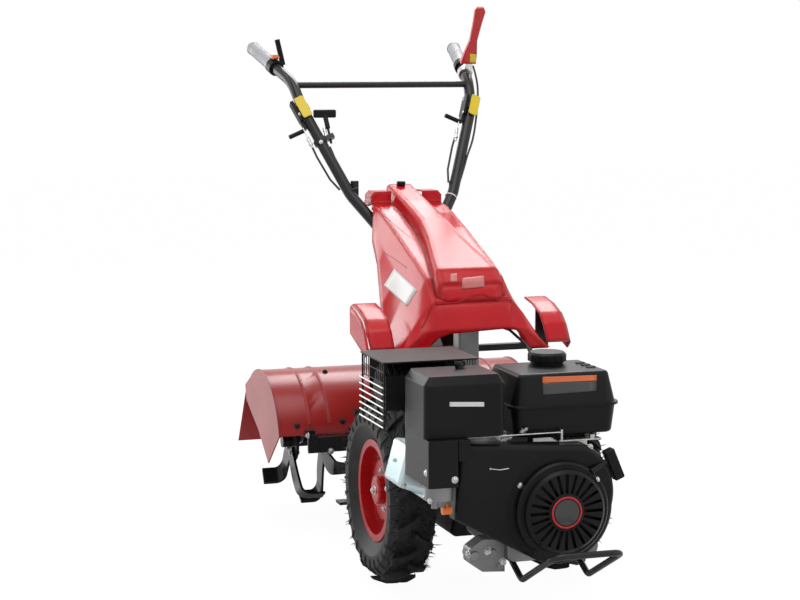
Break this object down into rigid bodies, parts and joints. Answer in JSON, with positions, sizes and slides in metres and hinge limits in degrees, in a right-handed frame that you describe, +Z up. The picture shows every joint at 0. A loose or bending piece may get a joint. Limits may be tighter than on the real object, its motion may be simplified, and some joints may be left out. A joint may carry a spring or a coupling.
{
  "type": "two wheel walking tractor with rear tiller",
  "caption": "Petrol walking tractor on two lugged wheels, engine in front, red hood, raised handlebar and a tine tiller under a curved guard behind.",
  "frame": {"origin": "on the ground at the middle of the whole machine's length and width", "axes": "+X to the driver's left, +Y to the rear, +Z up"},
  "size_m": [0.666, 1.5939, 1.2832],
  "materials": {
    "cast_dark": "black painted casting",
    "gearbox_paint": "black painted casting",
    "engine_alloy": "cast alloy",
    "rocker_paint": "silver blue pressing",
    "black_plastic": "satin",
    "black_paint": "semi gloss powder coat",
    "red_paint": "gloss",
    "brick_paint": "satin",
    "bright_steel": "zinc plated",
    "tyre": "matt",
    "grip": "matt",
    "red_plastic": "gloss",
    "orange_plastic": "gloss",
    "yellow_plate": "satin",
    "cable": "satin"
  },
  "bodies": {
    "chassis": {"gearbox": "gearbox_paint", "bell_housing": "engine_alloy", "drive_tube": "cast_dark", "engine_block": "engine_alloy", "rocker_cover": "rocker_paint", "fan_cover": "black_plastic", "recoil_starter": "black_plastic", "recoil_grip": "black_plastic", "fuel_tank": "black_plastic", "fuel_cap": "black_plastic", "tank_bracket": "black_plastic", "air_cleaner": "black_plastic", "carburettor": "black_plastic", "muffler": "black_plastic", "muffler_guard": "black_plastic", "front_bumper": "black_paint", "hood": "red_paint", "fenders": "red_paint", "hood_stay": "black_paint", "steering_column": "cast_dark", "tiller_gearcase": "cast_dark", "tiller_hood": "brick_paint", "tiller_beam": "black_paint", "depth_skid": "black_paint", "engine_mount": "engine_alloy", "float_bowl": "engine_alloy", "fuel_tap": "orange_plastic", "throttle_link": "bright_steel", "breather_hose": "cable", "muffler_shield": "black_plastic", "guard_bars": "bright_steel", "hood_knob": "black_plastic", "selector_box": "engine_alloy", "engine_cables": "cable"},
    "handlebar": {"handle_frame": "black_paint", "handle_crossbar": "black_paint", "handle_grips": "grip", "lever_brackets": "black_plastic", "lever_plates": "yellow_plate", "hand_levers": "black_plastic", "lever_cables": "cable", "gear_handle": "black_plastic", "gear_bracket": "black_plastic", "control_clusters": "black_plastic", "stop_switch": "red_plastic", "clutch_lever": "red_plastic", "lever_clamp": "bright_steel", "lock_post": "black_plastic"},
    "wheel_left": {"wheel_left_tyre": "tyre", "wheel_left_rim": "red_paint", "wheel_left_hub": "bright_steel"},
    "wheel_right": {"wheel_right_tyre": "tyre", "wheel_right_rim": "red_paint", "wheel_right_hub": "bright_steel"},
    "tine_rotor": {"rotor_shaft": "black_paint", "rotor_tines": "black_paint"},
    "rear_flap": {"rear_flap": "brick_paint"}
  },
  "joints": [
    {"name": "handlebar_tilt", "type": "hinge", "parent": "chassis", "child": "handlebar", "pos_m": [0, 0.32055, 0.722], "axis": [1, 0, 0], "range_deg": [-12, 8]},
    {"name": "wheel_left_spin", "type": "hinge", "parent": "chassis", "child": "wheel_left", "pos_m": [0.196, -0.11945, 0.2075], "axis": [1, 0, 0], "continuous": true},
    {"name": "wheel_right_spin", "type": "hinge", "parent": "chassis", "child": "wheel_right", "pos_m": [-0.196, -0.11945, 0.2075], "axis": [1, 0, 0], "continuous": true},
    {"name": "tine_rotor_spin", "type": "hinge", "parent": "chassis", "child": "tine_rotor", "pos_m": [0, 0.50255, 0.203], "axis": [1, 0, 0], "continuous": true},
    {"name": "rear_flap_swing", "type": "hinge", "parent": "chassis", "child": "rear_flap", "pos_m": [0, 0.66975, 0.321], "axis": [1, 0, 0], "range_deg": [-25, 70]}
  ]
}
